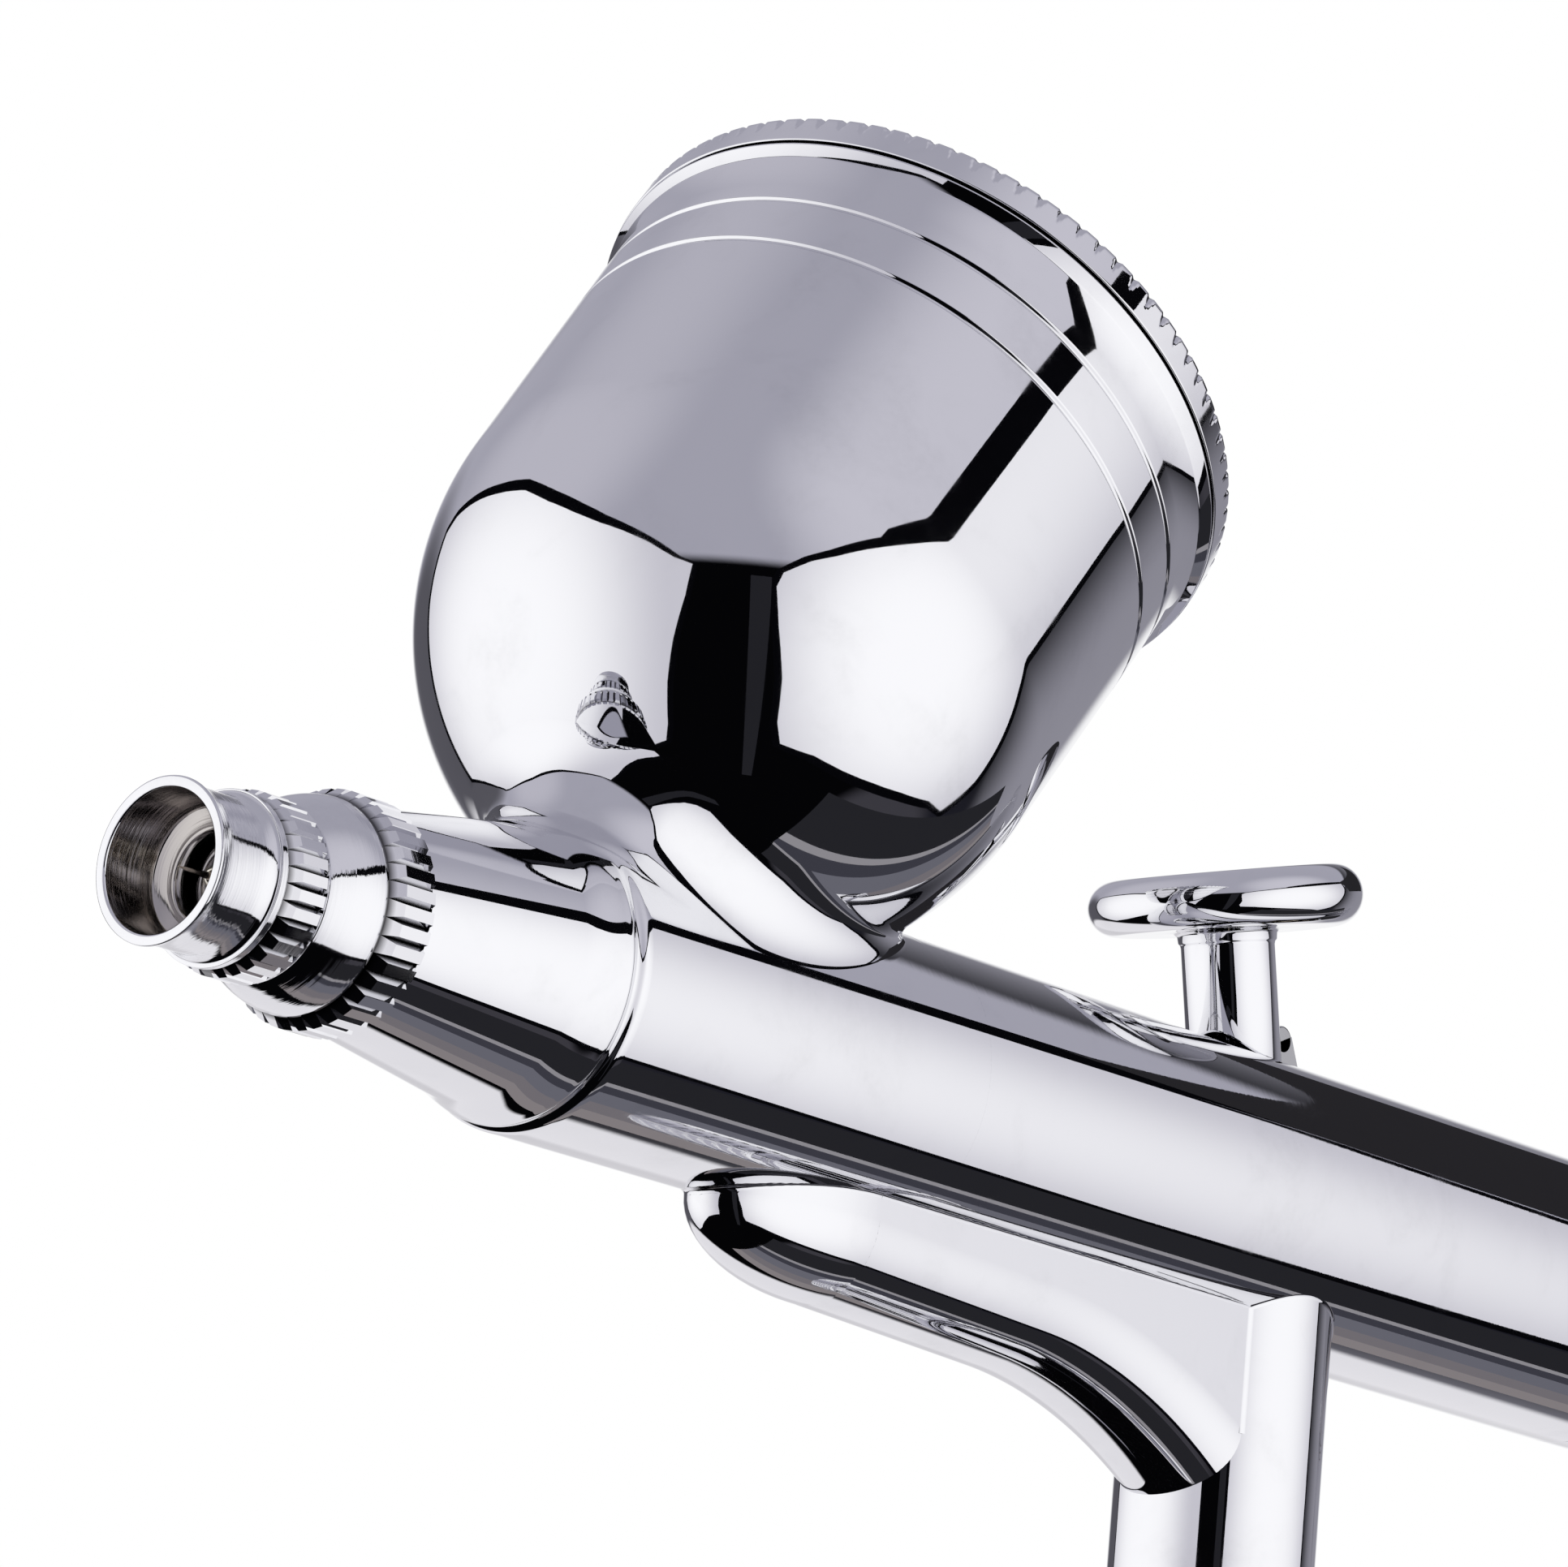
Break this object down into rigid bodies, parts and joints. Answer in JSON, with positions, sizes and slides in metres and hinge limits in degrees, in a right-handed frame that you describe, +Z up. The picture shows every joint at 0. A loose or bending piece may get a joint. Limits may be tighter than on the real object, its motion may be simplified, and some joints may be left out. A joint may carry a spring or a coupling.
{
  "type": "gravity feed airbrush",
  "caption": "Gravity feed, double action airbrush gun with a lidded paint cup, knurled nose caps, finger trigger, tapered tail and a threaded air inlet.",
  "frame": {"origin": "centre of the air inlet's open lower end", "axes": "+X along the needle from the nose towards the tail, +Z up the air valve towards the trigger, +Y to the left side seen from the tail"},
  "size_m": [0.1552, 0.027, 0.0751],
  "materials": {
    "chrome": "polished chrome plate over brass, mirror bright",
    "steel": "ground stainless steel",
    "plated_brass": "turned brass with a thin nickel plate",
    "black_rubber": "smooth black rubber",
    "white_ptfe": "waxy white"
  },
  "bodies": {
    "gun": {"gun_body": "chrome", "paint_cup": "chrome", "fluid_nozzle": "steel", "nozzle_seal": "white_ptfe", "needle_packing": "white_ptfe", "packing_screw": "plated_brass", "needle_spring": "steel", "plunger_seal": "black_rubber", "seal_retainer": "plated_brass", "valve_casing": "chrome", "casing_gasket": "black_rubber", "valve_spring": "steel", "valve_screw": "plated_brass"},
    "air_valve": {"valve_plunger": "plated_brass", "valve_poppet": "plated_brass", "poppet_seal": "black_rubber"},
    "finger_trigger": {"trigger": "chrome"},
    "rocking_lever": {"back_lever": "steel"},
    "needle_carriage": {"needle": "steel", "needle_guide": "plated_brass"},
    "needle_clamp": {"chuck_nut": "chrome"},
    "spring_adjuster": {"spring_case": "chrome"},
    "lid": {"cup_lid": "chrome"},
    "air_cap": {"nozzle_cap": "chrome"},
    "front_guard": {"needle_cap": "chrome"},
    "tail": {"handle": "chrome", "preset_ring": "black_rubber"},
    "travel_stop": {"preset_screw": "chrome"}
  },
  "joints": [
    {"name": "trigger_press", "type": "slide", "parent": "gun", "child": "air_valve", "axis": [0, 0, -1], "range_m": [0, 0.0015], "stiffness_N_per_m": 800, "springref_m": -0.001, "deforming": ["valve_spring"]},
    {"name": "trigger_pull", "type": "hinge", "parent": "air_valve", "child": "finger_trigger", "pos_m": [0, 0, 0.0351], "axis": [0, 1, 0], "range_deg": [0, 28], "stiffness_Nm_per_rad": 0.008, "springref_deg": -34.38},
    {"name": "lever_rock", "type": "hinge", "parent": "gun", "child": "rocking_lever", "pos_m": [0.0042, 0, 0.0361], "axis": [0, 1, 0], "range_deg": [0, 34]},
    {"name": "needle_draw", "type": "slide", "parent": "gun", "child": "needle_carriage", "axis": [1, 0, 0], "range_m": [0, 0.0025], "deforming": ["needle_spring"]},
    {"name": "chuck_nut_turn", "type": "hinge", "parent": "needle_carriage", "child": "needle_clamp", "pos_m": [0.0425, 0, 0.039], "axis": [1, 0, 0], "continuous": true},
    {"name": "spring_case_turn", "type": "hinge", "parent": "gun", "child": "spring_adjuster", "pos_m": [0.0327, 0, 0.039], "axis": [1, 0, 0], "continuous": true},
    {"name": "lid_lift", "type": "slide", "parent": "gun", "child": "lid", "axis": [0.6004, 0, 0.7997], "range_m": [0, 0.02]},
    {"name": "nozzle_cap_turn", "type": "hinge", "parent": "gun", "child": "air_cap", "pos_m": [-0.0565, 0, 0.039], "axis": [1, 0, 0], "continuous": true},
    {"name": "needle_cap_turn", "type": "hinge", "parent": "air_cap", "child": "front_guard", "pos_m": [-0.06, 0, 0.039], "axis": [1, 0, 0], "continuous": true},
    {"name": "handle_turn", "type": "hinge", "parent": "gun", "child": "tail", "pos_m": [0.028, 0, 0.039], "axis": [1, 0, 0], "continuous": true},
    {"name": "preset_travel", "type": "slide", "parent": "tail", "child": "travel_stop", "axis": [-1, 0, 0], "range_m": [-0.003, 0.0017]}
  ],
  "couplings": [
    {"joint": "lever_rock", "follows": "trigger_pull", "ratio": 1.2},
    {"joint": "needle_draw", "follows": "trigger_pull", "m_per_rad": 0.00495}
  ]
}
